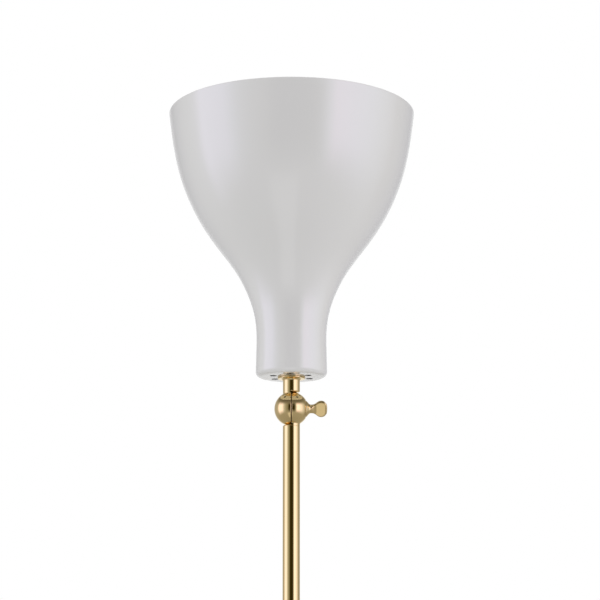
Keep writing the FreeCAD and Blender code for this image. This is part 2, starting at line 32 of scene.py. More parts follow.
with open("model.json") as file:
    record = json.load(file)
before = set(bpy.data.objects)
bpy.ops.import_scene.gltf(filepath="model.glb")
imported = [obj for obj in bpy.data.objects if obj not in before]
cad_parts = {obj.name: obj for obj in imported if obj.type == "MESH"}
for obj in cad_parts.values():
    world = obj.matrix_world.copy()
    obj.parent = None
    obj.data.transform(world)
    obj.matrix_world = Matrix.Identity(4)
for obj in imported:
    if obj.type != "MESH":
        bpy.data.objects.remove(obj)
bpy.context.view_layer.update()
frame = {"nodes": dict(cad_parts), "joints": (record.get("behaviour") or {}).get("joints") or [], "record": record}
NODES = frame["nodes"]
BODY_OF = {n: b for b, ns in frame["record"]["behaviour"]["bodies"].items() for n in ns}
JOINTS = {j["name"]: j for j in frame["joints"]}
ELBOW_Z = JOINTS["arm_tilt"]["pos_m"][2] * 1000.0
HEAD_Z = JOINTS["head_tilt"]["pos_m"][2] * 1000.0
SLOT_OF = {s["node"]: s["material_slot"] for s in frame["record"]["subparts"]}

# ------------------------------------------------------------------ mesh helpers
SHARP = math.radians(33)


def outline(points, closed=True, step=0.16):
    """(a, b[, radius]) corners to a polyline, with each radius drawn as an arc."""
    n = len(points)
    out = []
    for i, p in enumerate(points):
        c = Vector((p[0], p[1]))
        inside = closed or 0 < i < n - 1
        if len(p) < 3 or not p[2] or not inside:
            out.append((c.x, c.y))
            continue
        a = (Vector(points[i - 1][:2]) - c).normalized()
        b = (Vector(points[(i + 1) % n][:2]) - c).normalized()
        half = math.acos(max(-1.0, min(1.0, a.dot(b)))) / 2.0
        t = p[2] / math.tan(half)
        centre = c + (a + b).normalized() * (p[2] / math.sin(half))
        s, e = c + a * t - centre, c + b * t - centre
        turn = math.pi - 2 * half
        k = max(3, int(math.ceil(turn / step)))
        ang = math.atan2(s.x * e.y - s.y * e.x, s.dot(e))
        for j in range(k + 1):
            th = ang * j / k
            v = Vector((s.x * math.cos(th) - s.y * math.sin(th), s.x * math.sin(th) + s.y * math.cos(th)))
            out.append((centre.x + v.x, centre.y + v.y))
    clean = [out[0]]
    for q in out[1:]:
        if math.hypot(q[0] - clean[-1][0], q[1] - clean[-1][1]) > 1e-5:
            clean.append(q)
    if closed and math.hypot(clean[0][0] - clean[-1][0], clean[0][1] - clean[-1][1]) < 1e-5:
        clean.pop()
    return clean


def arc_pts(cx, cy, r, a0, a1, k):
    return [(cx + r * math.cos(math.radians(a0 + (a1 - a0) * j / k)),
             cy + r * math.sin(math.radians(a0 + (a1 - a0) * j / k))) for j in range(k + 1)]


def lathe(points, seg=128, axis="Z", closed=True):
    """Mesh turned from (radius, height) points. An open outline starts and ends on the axis."""
    bm = bmesh.new()
    rings = []
    for r, h in points:
        if r < 1e-6:
            rings.append([bm.verts.new((0, 0, h))])
        else:
            rings.append([bm.verts.new((r * math.cos(2 * math.pi * k / seg), r * math.sin(2 * math.pi * k / seg), h))
                          for k in range(seg)])
    pairs = list(zip(rings[:-1], rings[1:]))
    if closed:
        pairs.append((rings[-1], rings[0]))
    for a, b in pairs:
        if len(a) == 1 and len(b) == 1:
            continue
        for k in range(seg):
            m = (k + 1) % seg
            if len(a) == 1:
                bm.faces.new((a[0], b[m], b[k]))
            elif len(b) == 1:
                bm.faces.new((a[k], a[m], b[0]))
            else:
                bm.faces.new((a[k], a[m], b[m], b[k]))
    bmesh.ops.recalc_face_normals(bm, faces=bm.faces)
    if bm.calc_volume(signed=True) < 0:
        bmesh.ops.reverse_faces(bm, faces=bm.faces)
    if axis == "X":
        bmesh.ops.rotate(bm, verts=bm.verts, cent=(0, 0, 0), matrix=Matrix.Rotation(math.pi / 2, 3, "Y"))
    elif axis == "Y":
        bmesh.ops.rotate(bm, verts=bm.verts, cent=(0, 0, 0), matrix=Matrix.Rotation(-math.pi / 2, 3, "X"))
    return mesh_of(bm)


def mesh_of(bm):
    me = bpy.data.meshes.new("work")
    bm.to_mesh(me)
    bm.free()
    return me


def block(x0, x1, y0, y1, z0, z1):
    bm = bmesh.new()
    bmesh.ops.create_cube(bm, size=1.0)
    for v in bm.verts:
        v.co = Vector((x0 if v.co.x < 0 else x1, y0 if v.co.y < 0 else y1, z0 if v.co.z < 0 else z1))
    return mesh_of(bm)


def rod(r, z0, z1, x=0.0, y=0.0, seg=48, axis="Z"):
    me = lathe([(0, z0), (r, z0), (r, z1), (0, z1)], seg, axis, closed=False)
    me.transform(Matrix.Translation((x, y, 0)))
    return me


def joined(meshes):
    """Several closed meshes in one, not merged: for pieces that stay apart."""
    bm = bmesh.new()
    for me in meshes:
        bm.from_mesh(me)
    return mesh_of(bm)


def boolean(a, b, op):
    oa, ob = bpy.data.objects.new("ba", a), bpy.data.objects.new("bb", b)
    coll = bpy.context.scene.collection
    coll.objects.link(oa)
    coll.objects.link(ob)
    m = oa.modifiers.new("b", "BOOLEAN")
    m.operation, m.solver, m.object = op, "EXACT", ob
    bpy.context.view_layer.update()
    dg = bpy.context.evaluated_depsgraph_get()
    me = bpy.data.meshes.new_from_object(oa.evaluated_get(dg))
    bpy.data.objects.remove(oa)
    bpy.data.objects.remove(ob)
    return me


def flipped(me):
    """Half-turn about X."""
    me = me.copy()
    me.transform(Matrix.Rotation(math.pi, 4, "X"))
    return me


def mirrored(me):
    me = me.copy()
    me.transform(Matrix.Scale(-1, 4, (1, 0, 0)))
    me.flip_normals()
    return me


def piece(name, me, node, dz=0.0, mat=None, sharp=SHARP):
    """Puts a finished mesh in the frame as the stand-in for a CAD node."""
    me = me.copy()
    me.transform(Matrix.Scale(0.001, 4) @ Matrix.Translation((0, 0, dz)))
    bm = bmesh.new()
    bm.from_mesh(me)
    bmesh.ops.remove_doubles(bm, verts=bm.verts, dist=2e-7)
    bmesh.ops.dissolve_degenerate(bm, dist=1e-7, edges=bm.edges)
    for f in bm.faces:
        f.smooth = True
    for e in bm.edges:
        e.smooth = not (len(e.link_faces) == 2 and e.calc_face_angle(0.0) > sharp)
    bm.to_mesh(me)
    bm.free()
    me.materials.clear()
    me.materials.append(mat)
    ob = bpy.data.objects.new(name, me)
    bpy.context.scene.collection.objects.link(ob)
    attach(ob, BODY_OF[node])
    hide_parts(node)
    return ob


# ------------------------------------------------------------------ node helpers
def new_mat(name):
    m = bpy.data.materials.new(name)
    m.use_nodes = True
    nt = m.node_tree
    return m, nt, nt.nodes["Principled BSDF"]


def node(nt, kind, **inputs):
    n = nt.nodes.new(kind)
    for k, v in inputs.items():
        key = k.replace("_", " ")
        if key in n.inputs:
            n.inputs[key].default_value = v
        else:
            setattr(n, k, v)
    return n


def coords(nt, scale=(1, 1, 1), rot=(0, 0, 0)):
    tc = nt.nodes.new("ShaderNodeTexCoord")
    mp = nt.nodes.new("ShaderNodeMapping")
    mp.inputs["Scale"].default_value = scale
    mp.inputs["Rotation"].default_value = rot
    nt.links.new(tc.outputs["Object"], mp.inputs["Vector"])
    return mp.outputs["Vector"]


def noise(nt, vec, scale, detail=3.0, rough=0.55):
    n = nt.nodes.new("ShaderNodeTexNoise")
    n.inputs["Scale"].default_value = scale
    n.inputs["Detail"].default_value = detail
    n.inputs["Roughness"].default_value = rough
    nt.links.new(vec, n.inputs["Vector"])
    return n.outputs["Fac"]


def radial_noise(nt, scale):
    """Noise that depends only on the distance from the Z axis: spinning and polishing rings."""
    tc = nt.nodes.new("ShaderNodeTexCoord")
    flat = nt.nodes.new("ShaderNodeVectorMath")
    flat.operation = "MULTIPLY"
    flat.inputs[1].default_value = (1, 1, 0)
    nt.links.new(tc.outputs["Object"], flat.inputs[0])
    dist = nt.nodes.new("ShaderNodeVectorMath")
    dist.operation = "LENGTH"
    nt.links.new(flat.outputs["Vector"], dist.inputs[0])
    n = nt.nodes.new("ShaderNodeTexNoise")
    n.noise_dimensions = "1D"
    n.inputs["Scale"].default_value = scale
    n.inputs["Detail"].default_value = 2.0
    nt.links.new(dist.outputs["Value"], n.inputs["W"])
    return n.outputs["Fac"]


def ramp(nt, fac, stops):
    r = nt.nodes.new("ShaderNodeValToRGB")
    els = r.color_ramp.elements
    while len(els) < len(stops):
        els.new(0.5)
    for e, (pos, col) in zip(els, stops):
        e.position = pos
        e.color = (*col, 1.0) if len(col) == 3 else col
    nt.links.new(fac, r.inputs["Fac"])
    return r.outputs["Color"]


def remap(nt, fac, a, b, lo=0.0, hi=1.0):
    m = nt.nodes.new("ShaderNodeMapRange")
    m.inputs["From Min"].default_value = lo
    m.inputs["From Max"].default_value = hi
    m.inputs["To Min"].default_value = a
    m.inputs["To Max"].default_value = b
    nt.links.new(fac, m.inputs["Value"])
    return m.outputs["Result"]


def bump(nt, bsdf, heights):
    """heights: [(socket, strength, distance in metres)], stacked."""
    last = None
    for sock, strength, dist in heights:
        b = nt.nodes.new("ShaderNodeBump")
        b.inputs["Strength"].default_value = strength
        b.inputs["Distance"].default_value = dist
        nt.links.new(sock, b.inputs["Height"])
        if last is not None:
            nt.links.new(last, b.inputs["Normal"])
        last = b.outputs["Normal"]
    nt.links.new(last, bsdf.inputs["Normal"])


def mix_col(nt, fac, a, b, blend="MIX"):
    m = nt.nodes.new("ShaderNodeMix")
    m.data_type = "RGBA"
    m.blend_type = blend
    for key, v in (("A", a), ("B", b)):
        sock = [i for i in m.inputs if i.name == key and i.type == "RGBA"][0]
        if isinstance(v, tuple):
            sock.default_value = (*v, 1.0)
        else:
            nt.links.new(v, sock)
    f = [i for i in m.inputs if i.name == "Factor" and i.type == "VALUE"][0]
    if isinstance(fac, float):
        f.default_value = fac
    else:
        nt.links.new(fac, f)
    return [o for o in m.outputs if o.type == "RGBA"][0]


# ------------------------------------------------------------------ materials
def brass_material(name, base, deep, rough_lo, rough_hi, lines_axis=None, lines=900.0):
    """Polished brass: slow colour drift, polish haze, hairline scratches."""
    m, nt, b = new_mat(name)
    v = coords(nt)
    drift = noise(nt, v, 14.0, 4.0, 0.6)
    col = ramp(nt, drift, [(0.30, deep), (0.70, base)])
    b.inputs["Metallic"].default_value = 1.0
    b.inputs["IOR"].default_value = 1.5
    nt.links.new(col, b.inputs["Base Color"])
    haze = noise(nt, v, 60.0, 5.0, 0.65)
    nt.links.new(remap(nt, haze, rough_lo, rough_hi, 0.3, 0.75), b.inputs["Roughness"])
    if lines_axis == "R":  # concentric lathe marks about the Z axis
        fine = radial_noise(nt, lines)
    else:
        fine = noise(nt, coords(nt, {"Z": (1, 1, 0.02), None: (1, 1, 1)}[lines_axis]), lines, 2.0, 0.5)
    dings = noise(nt, v, 180.0, 2.0, 0.5)
    bump(nt, b, [(fine, 0.05, 0.00002), (dings, 0.04, 0.00005)])
    return m


BRASS = brass_material("brass_polished", (0.890, 0.700, 0.365), (0.865, 0.665, 0.330), 0.055, 0.11)
BRASS_TUBE = brass_material("brass_drawn_tube", (0.890, 0.705, 0.370), (0.870, 0.680, 0.340), 0.035, 0.07, "Z", 2600.0)
BRASS_SPUN = brass_material("brass_spun", (0.885, 0.695, 0.360), (0.855, 0.655, 0.320), 0.10, 0.19, "R", 1500.0)
BRASS_PLAIN = brass_material("brass_plain", (0.80, 0.60, 0.30), (0.70, 0.50, 0.23), 0.25, 0.38)


def enamel_material():
    """Sprayed gloss enamel on spun metal: faint orange peel and spinning rings."""
    m, nt, b = new_mat("enamel_grey_white")
    v = coords(nt)
    drift = noise(nt, v, 9.0, 3.0, 0.5)
    col = ramp(nt, drift, [(0.3, (0.838, 0.840, 0.820)), (0.7, (0.856, 0.858, 0.840))])
    nt.links.new(col, b.inputs["Base Color"])
    b.inputs["Metallic"].default_value = 0.0
    b.inputs["IOR"].default_value = 1.5
    haze = noise(nt, v, 35.0, 4.0, 0.6)
    nt.links.new(remap(nt, haze, 0.30, 0.38, 0.3, 0.75), b.inputs["Roughness"])
    b.inputs["Coat Weight"].default_value = 1.0
    b.inputs["Coat Roughness"].default_value = 0.035
    b.inputs["Coat IOR"].default_value = 1.7
    peel = noise(nt, v, 420.0, 2.0, 0.5)
    rings = noise(nt, coords(nt, (0.05, 0.05, 1.0)), 380.0, 2.0, 0.5)
    bump(nt, b, [(rings, 0.03, 0.00005), (peel, 0.05, 0.00006)])
    return m


ENAMEL = enamel_material()


def plain_material(name, lo, hi, rough=(0.4, 0.6), scale=80.0, bump_scale=900.0, bump_strength=0.15, dist=0.0001,
                   metallic=0.0, ior=1.5, coat=0.0):
    m, nt, b = new_mat(name)
    v = coords(nt)
    col = ramp(nt, noise(nt, v, scale, 4.0, 0.6), [(0.3, lo), (0.7, hi)])
    nt.links.new(col, b.inputs["Base Color"])
    b.inputs["Metallic"].default_value = metallic
    b.inputs["IOR"].default_value = ior
    if coat:
        b.inputs["Coat Weight"].default_value = coat
        b.inputs["Coat Roughness"].default_value = 0.08
    nt.links.new(remap(nt, noise(nt, v, scale * 2.1, 4.0, 0.6), rough[0], rough[1], 0.3, 0.75), b.inputs["Roughness"])
    bump(nt, b, [(noise(nt, v, bump_scale, 3.0, 0.6), bump_strength, dist)])
    return m


STEEL = plain_material("zinc_plated_steel", (0.56, 0.57, 0.58), (0.70, 0.71, 0.72), (0.24, 0.40), 260.0, 1600.0, 0.1, 0.00004, 1.0)
IRON = plain_material("cast_iron_black", (0.030, 0.031, 0.033), (0.060, 0.060, 0.062), (0.55, 0.8), 160.0, 900.0, 0.5, 0.0003)
PHENOLIC = plain_material("phenolic_black", (0.016, 0.016, 0.017), (0.026, 0.026, 0.028), (0.28, 0.42), 120.0, 1400.0, 0.08, 0.00006)
FIBRE = plain_material("fibre_washer", (0.030, 0.022, 0.016), (0.050, 0.038, 0.030), (0.6, 0.8), 300.0, 1500.0, 0.3, 0.0001)
NYLON = plain_material("nylon_white", (0.72, 0.71, 0.67), (0.80, 0.79, 0.76), (0.35, 0.5), 120.0, 1200.0, 0.08, 0.00006)
PORCELAIN = plain_material("porcelain", (0.80, 0.79, 0.74), (0.86, 0.85, 0.81), (0.08, 0.16), 60.0, 300.0, 0.06, 0.0001, coat=0.5)
ALUMINIUM = plain_material("aluminium_rolled", (0.74, 0.74, 0.75), (0.82, 0.82, 0.83), (0.22, 0.38), 200.0, 1500.0, 0.1, 0.00005, 1.0)
BROWN = plain_material("insulation_brown", (0.14, 0.06, 0.028), (0.19, 0.085, 0.04), (0.35, 0.5), 150.0, 1200.0, 0.1, 0.00005)
BLUE = plain_material("insulation_blue", (0.02, 0.09, 0.32), (0.03, 0.12, 0.40), (0.35, 0.5), 150.0, 1200.0, 0.1, 0.00005)
CAPGLASS = plain_material("cap_glass_black", (0.012, 0.012, 0.018), (0.02, 0.02, 0.028), (0.05, 0.1), 90.0, 500.0, 0.05, 0.0001, coat=0.5)
FILAMENT = plain_material("led_filament_phosphor", (0.75, 0.52, 0.10), (0.86, 0.66, 0.18), (0.5, 0.7), 300.0, 2000.0, 0.2, 0.0001)


# near-black painted shade for the inside of the shade's foot, so the vents read dark
FOOT_PAINTED_SHADE = plain_material("shade_foot_painted_shade", (0.020, 0.019, 0.018), (0.040, 0.037, 0.034), (0.5, 0.7), 120.0, 700.0, 0.2, 0.0001)


def felt_material():
    m, nt, b = new_mat("felt_black")
    v = coords(nt)
    fibres = noise(nt, coords(nt, (1, 1, 1), (0.3, 0.2, 0.6)), 1500.0, 6.0, 0.75)
    clumps = noise(nt, v, 90.0, 4.0, 0.6)
    col = ramp(nt, fibres, [(0.25, (0.010, 0.011, 0.011)), (0.75, (0.045, 0.046, 0.045))])
    col = mix_col(nt, remap(nt, clumps, 0.0, 0.5, 0.3, 0.8), col, (0.020, 0.021, 0.021))
    nt.links.new(col, b.inputs["Base Color"])
    b.inputs["Roughness"].default_value = 0.95
    b.inputs["Sheen Weight"].default_value = 0.4
    b.inputs["Sheen Roughness"].default_value = 0.6
    bump(nt, b, [(fibres, 0.7, 0.0006)])
    return m


FELT = felt_material()


def frosted_material():
    """Acid-etched lamp glass with a white diffusing coat inside."""
    m, nt, b = new_mat("glass_frosted")
    v = coords(nt)
    etch = noise(nt, v, 700.0, 4.0, 0.6)
    col = ramp(nt, noise(nt, v, 30.0, 3.0, 0.5), [(0.3, (0.86, 0.865, 0.86)), (0.7, (0.91, 0.91, 0.905))])
    nt.links.new(col, b.inputs["Base Color"])
    nt.links.new(remap(nt, etch, 0.30, 0.42, 0.3, 0.75), b.inputs["Roughness"])
    b.inputs["IOR"].default_value = 1.5
    b.inputs["Transmission Weight"].default_value = 0.35
    b.inputs["Subsurface Weight"].default_value = 0.25
    b.inputs["Subsurface Radius"].default_value = (0.004, 0.004, 0.004)
    bump(nt, b, [(etch, 0.08, 0.00005)])
    return m


FROSTED = frosted_material()


def clear_glass_material():
    m, nt, b = new_mat("glass_clear")
    v = coords(nt)
    b.inputs["Base Color"].default_value = (0.95, 0.97, 0.96, 1.0)
    b.inputs["Transmission Weight"].default_value = 1.0
    b.inputs["IOR"].default_value = 1.5
    nt.links.new(remap(nt, noise(nt, v, 120.0, 3.0, 0.5), 0.01, 0.05, 0.3, 0.75), b.inputs["Roughness"])
    bump(nt, b, [(noise(nt, v, 90.0, 2.0, 0.5), 0.08, 0.0004)])
    return m


CLEAR = clear_glass_material()

SLOT_MAT = {
    "polished_brass": BRASS, "plain_brass": BRASS_PLAIN, "shade_enamel": ENAMEL, "cast_weight": IRON, "felt": FELT,
    "zinc_steel": STEEL, "friction_fibre": FIBRE, "black_plastic": PHENOLIC, "white_plastic": NYLON,
    "socket_porcelain": PORCELAIN, "bare_aluminium": ALUMINIUM, "lead_live_brown": BROWN,
    "lead_neutral_blue": BLUE, "cap_glass": CAPGLASS, "frosted_glass": FROSTED, "clear_glass": CLEAR,
    "filament": FILAMENT,
}
for name, ob in NODES.items():
    ob.data.materials.clear()
    ob.data.materials.append(SLOT_MAT[SLOT_OF[name]])
    ob.data.polygons.foreach_set("use_smooth", [True] * len(ob.data.polygons))

# ------------------------------------------------------------------ dimensions, mm
R_TUBE, R_BORE, R_BALL, R_WAY = 6.35, 5.0, 12.7, 4.0
HALF, NECK_FLAT, TUBE_SEAT = 0.25, 12.4, 14.0
SHADE_FLOOR, WALL = 23.84, 1.0
STUB_TOP = SHADE_FLOOR - 3.2
PROFILE = [
    (4.0, 26.63), (12.0, 26.47), (24.0, 26.21), (36.0, 26.43), (46.0, 27.73), (56.0, 30.37), (66.0, 34.36),
    (78.0, 40.56), (90.0, 48.79), (104.0, 59.32), (120.0, 69.75), (136.0, 77.86), (152.0, 83.97), (168.0, 88.21),
    (184.0, 91.16), (202.8, 93.70)]


# ------------------------------------------------------------------ shade
def cubic_through(points, d0, d1, per):
    """Clamped cubic spline through 2D points, chord-length parameter."""
    p = np.array(points, float)
    t = np.concatenate([[0], np.cumsum(np.hypot(*(p[1:] - p[:-1]).T))])
    n = len(p)
    A = np.zeros((n, n))
    rhs = np.zeros((n, 2))
    A[0, 0] = A[-1, -1] = 1
    rhs[0] = np.array(d0) / np.hypot(*d0)
    rhs[-1] = np.array(d1) / np.hypot(*d1)
    for i in range(1, n - 1):
        h0, h1 = t[i] - t[i - 1], t[i + 1] - t[i]
        A[i, i - 1], A[i, i], A[i, i + 1] = h1, 2 * (h0 + h1), h0
        rhs[i] = 3 * (h1 * (p[i] - p[i - 1]) / h0 + h0 * (p[i + 1] - p[i]) / h1)
    d = np.linalg.solve(A, rhs)
    pts, tans = [], []
    for i in range(n - 1):
        h = t[i + 1] - t[i]
        for j in range(per + (1 if i == n - 2 else 0)):
            s = j / per
            pts.append((2 * s**3 - 3 * s**2 + 1) * p[i] + (s**3 - 2 * s**2 + s) * h * d[i]
                       + (-2 * s**3 + 3 * s**2) * p[i + 1] + (s**3 - s**2) * h * d[i + 1])
            g = ((6 * s**2 - 6 * s) * p[i] / h + (3 * s**2 - 4 * s + 1) * d[i]
                 + (-6 * s**2 + 6 * s) * p[i + 1] / h + (3 * s**2 - 2 * s) * d[i + 1])
            tans.append(g / np.hypot(*g))
    return np.array(pts), np.array(tans)


def shade_mesh():
    pts, tans = cubic_through([(r, SHADE_FLOOR + h) for h, r in PROFILE], (-0.02, 1.0), (0.125, 1.0), 6)
    nrm = np.stack([-tans[:, 1], tans[:, 0]], 1)
    inner = pts + nrm * WALL
    f = 4.0
    a0, b0 = pts[0], inner[0]
    loop = [(5.1, SHADE_FLOOR), (13.0, SHADE_FLOOR)]
    loop += arc_pts(a0[0] - f, SHADE_FLOOR + f, f, -90, 0, 10)[:-1]
    loop += [tuple(q) for q in pts]
    mid = (pts[-1] + inner[-1]) / 2
    th = math.degrees(math.atan2(-nrm[-1][1], -nrm[-1][0]))
    loop += arc_pts(mid[0], mid[1], WALL / 2, th, th + 180, 10)[1:-1]
    loop += [tuple(q) for q in inner[::-1]]
    fi = f - WALL
    loop += arc_pts(b0[0] - fi, SHADE_FLOOR + f, fi, 0, -90, 8)[1:]
    loop += [(13.0, SHADE_FLOOR + WALL), (5.1, SHADE_FLOOR + WALL)]
    me = lathe(loop, 192)
    holes = []
    for a in (26, 86, 146, 206, 266, 326):
        x, y = 15.0 * math.cos(math.radians(a)), 15.0 * math.sin(math.radians(a))
        # a paint-softened edge at both faces of each hole
        holes.append(lathe(outline([(0, SHADE_FLOOR - 2), (2.6, SHADE_FLOOR - 2), (2.6, SHADE_FLOOR - 0.02),
                                    (2.25, SHADE_FLOOR + 0.25), (2.25, SHADE_FLOOR + 0.75), (2.6, SHADE_FLOOR + 1.02),
                                    (2.6, SHADE_FLOOR + 3), (0, SHADE_FLOOR + 3)], closed=False), 40, closed=False))
        holes[-1].transform(Matrix.Translation((x, y, 0)))
    return boolean(me, joined(holes), "DIFFERENCE")


# ------------------------------------------------------------------ split ball
def half_ball(neck_top, spigot):
    """Left half-ball with its neck up, seat face at the split rounded over."""
    e = 0.5
    k = math.degrees(math.asin((HALF + e) / R_BALL))
    prof = [(0.0, -R_BALL)] + [(R_BALL * math.sin(math.radians(a)), -R_BALL * math.cos(math.radians(a)))
                               for a in np.linspace(2, 90 - k, 46)]
    r_edge = prof[-1][0]
    prof += [(r_edge + 0.02 - e * (1 - math.cos(math.radians(a))), -HALF - e + e * math.sin(math.radians(a)))
             for a in np.linspace(15, 90, 6)]
    prof += [(0.0, -HALF)]
    ball = lathe(prof, 160, "X", closed=False)
    f = 1.0
    rc = R_TUBE + f
    zc = math.sqrt((R_BALL + f) ** 2 - rc**2)
    a_end = math.degrees(math.atan2(-zc, -rc))
    cove = arc_pts(rc, zc, f, 180, 360 + a_end, 10)
    tail = [(0, 8.0), (cove[-1][0] - 0.25, 8.0), (cove[-1][0] - 0.12, cove[-1][1] - 0.3)]
    root = lathe(tail + cove[::-1] + [(R_TUBE, NECK_FLAT + 0.6), (0, NECK_FLAT + 0.6)], 96, closed=False)
    root = boolean(root, block(-HALF, 20, -20, 20, 0, 30), "DIFFERENCE")
    top = [(R_TUBE, neck_top), (0, neck_top)]
    neck = lathe(outline([(0, NECK_FLAT), (R_TUBE, NECK_FLAT, 0.95)] + top, closed=False), 96, closed=False)
    me = boolean(ball, root, "UNION")
    me = boolean(me, neck, "UNION")
    if spigot:
        me = boolean(me, rod(4.95, neck_top - 0.5, neck_top + 12.0, seg=96), "UNION")
    me = boolean(me, rod(R_WAY, NECK_FLAT - 3.0, neck_top + 20, seg=64), "DIFFERENCE")
    return me


def clamp_half():
    """Right half-ball with its neck down, a flat and a screw hole on the +X side."""
    me = half_ball(TUBE_SEAT, True)
    me = boolean(me, block(-14, -10.6, -9, 9, -9, 9), "DIFFERENCE")
    me = boolean(me, rod(2.58, -20, -3, seg=48, axis="X"), "DIFFERENCE")
    return flipped(mirrored(me))


def friction_ring():
    return lathe(outline([(8.6, -HALF + 0.02), (R_BALL - 0.9, -HALF + 0.02, 0.1), (R_BALL - 0.9, HALF, 0.1), (8.6, HALF)]),
                 128, "X")


def screw_washer():
    return lathe(outline([(2.58, 10.6), (6.1, 10.6, 0.12), (6.1, 11.1, 0.12), (2.58, 11.1)]), 96, "X")


def smooth(a, b, x):
    t = max(0.0, min(1.0, (x - a) / (b - a)))
    return t * t * (3 - 2 * t)


def thumb_screw():
    """Shank, coned seat and spade head in one skin, lofted along X."""
    xs_h = [11.1, 11.3, 11.6, 11.95, 12.3, 12.72, 13.1, 13.5, 14.0, 14.4, 15.0, 15.6, 16.2, 16.8, 17.5, 18.2, 18.9, 19.6,
            20.3, 21.0, 21.8, 22.6, 23.4, 24.1, 24.7, 25.2, 25.6, 25.95, 26.2, 26.38, 26.5, 26.58, 26.62]
    h_tab = ([10.9, 11.1, 11.3, 11.95, 12.72, 13.5, 14.4, 15.6, 16.6, 17.5, 18.5, 19.5, 20.6, 22.0, 23.4, 24.6, 25.6, 26.3, 26.62],
             [6.0, 6.0, 5.86, 5.2, 4.25, 3.52, 3.18, 3.13, 3.32, 3.80, 4.55, 5.33, 5.93, 6.14, 5.98, 5.38, 4.22, 2.52, 0.02])
    # monotone, smooth half-height by cubic Hermite over the table
    hx, hy = np.array(h_tab[0]), np.array(h_tab[1])
    m = np.gradient(hy, hx)

    def height(x):
        i = int(np.clip(np.searchsorted(hx, x) - 1, 0, len(hx) - 2))
        w = hx[i + 1] - hx[i]
        s = (x - hx[i]) / w
        if i >= len(hx) - 3:  # rounded tip: an ellipse falls to zero at the end
            x_t, h_t = hx[-3], hy[-3]
            q = (x - x_t) / (hx[-1] - x_t)
            return h_t * math.sqrt(max(0.0, 1 - q ** 2.6))
        return ((2 * s**3 - 3 * s**2 + 1) * hy[i] + (s**3 - 2 * s**2 + s) * w * m[i]
                + (-2 * s**3 + 3 * s**2) * hy[i + 1] + (s**3 - s**2) * w * m[i + 1])

    n = 64
    bm = bmesh.new()
    rings = []

    def ring(x, h, t, power):
        vs = []
        for k in range(n):
            a = 2 * math.pi * k / n
            c, s = math.cos(a), math.sin(a)
            # superellipse: 2 is round, larger is a flat plate with rounded edges
            vs.append(bm.verts.new((x, t * math.copysign(abs(c) ** (2 / power), c),
                                    h * math.copysign(abs(s) ** (2 / power), s))))
        rings.append(vs)

    ring(-9.0, 2.0, 2.0, 2)
    ring(-8.5, 2.5, 2.5, 2)
    ring(6.0, 2.5, 2.5, 2)
    ring(10.9, 2.5, 2.5, 2)
    ring(11.10, 2.5, 2.5, 2)
    ring(11.10, 5.85, 5.85, 2)
    ring(11.16, 5.98, 5.98, 2)
    for x in xs_h[1:]:
        h = max(height(x), 0.05)
        plate = smooth(13.6, 18.4, x)
        t = min(h, 3.15 + (1.40 - 3.15) * plate) if x > 13.6 else h
        if x > 25.0:
            q = (x - 25.0) / (26.62 - 25.0)
            t = t * math.sqrt(max(0.02, 1 - q ** 2.4))
        ring(x, h, t, 2 + 4.0 * plate * (1 - smooth(25.0, 26.6, x)))
    for a, b in zip(rings[:-1], rings[1:]):
        for k in range(n):
            mth = (k + 1) % n
            bm.faces.new((a[k], a[mth], b[mth], b[k]))
    bm.faces.new(rings[0][::-1])
    bm.faces.new(rings[-1])
    bmesh.ops.recalc_face_normals(bm, faces=bm.faces)
    if bm.calc_volume(signed=True) < 0:
        bmesh.ops.reverse_faces(bm, faces=bm.faces)
    bmesh.ops.rotate(bm, verts=bm.verts, cent=(0, 0, 0), matrix=Matrix.Rotation(math.radians(25.0), 3, "X"))
    return mesh_of(bm)


# ------------------------------------------------------------------ lampholder and lamp
CAP0, BODY0, BODY1, GLASS0 = 29.04, 46.04, 85.04, 86.006


def socket_cap_mesh():
    return lathe(outline([(5.0, CAP0), (9.5, CAP0, 1.0), (18.6, CAP0 + 11, 2.5), (18.6, CAP0 + 17, 0.5), (16.6, CAP0 + 17),
                          (16.6, CAP0 + 11.6, 1.5), (9.2, CAP0 + 5.6), (8.4, 36.6, 0.4), (5.0, 36.6)]), 128)


def socket_body_mesh():
    me = lathe(outline([(14.9, BODY0 + 9), (16.4, BODY0 + 9), (16.4, BODY0), (18.6, BODY0, 0.5), (18.6, BODY1 - 8, 0.6),
                        (19.8, BODY1 - 7, 0.6), (19.8, BODY1, 0.9), (15.2, BODY1, 0.6), (15.2, BODY1 - 5), (14.9, BODY1 - 5)]), 144)
    grips = []
    for k in range(24):
        a = 2 * math.pi * k / 24
        grips.append(rod(0.7, BODY1 - 6.2, BODY1 - 1.0, 20.2 * math.cos(a), 20.2 * math.sin(a), 20))
    return boolean(me, joined(grips), "DIFFERENCE")


def bulb_mesh():
    out = [(12.5, 0), (12.6, 4), (13.2, 10), (15.6, 19), (20.6, 28), (26.4, 37), (29.4, 45), (29.9, 52), (28.6, 60),
           (24.6, 68), (17.6, 74.6), (8.8, 77.8), (0, 78.6)]
    pts, tans = cubic_through([(r, GLASS0 + h) for r, h in out], (0.02, 1.0), (-1.0, 0.0), 6)
    nrm = np.stack([-tans[:, 1], tans[:, 0]], 1)
    inner = pts + nrm * 0.9
    pts[-1][0] = inner[-1][0] = 0.0
    loop = [tuple(q) for q in pts] + [tuple(q) for q in inner[::-1]]
    return lathe(loop, 160)


# ------------------------------------------------------------------ base
def base_cover_mesh():
    me = lathe(outline([(130, 1.2), (130, 20, 6.0), (16, 25), (5.2, 25), (5.2, 24.1), (16, 24.1), (129.1, 19.1, 5.1), (129.1, 1.2)],
                       step=0.09), 320)
    hole = rod(5.6, 100, 140, seg=64, axis="Y")
    hole.transform(Matrix.Translation((0, 0, 9.6)))
    return boolean(me, hole, "DIFFERENCE")


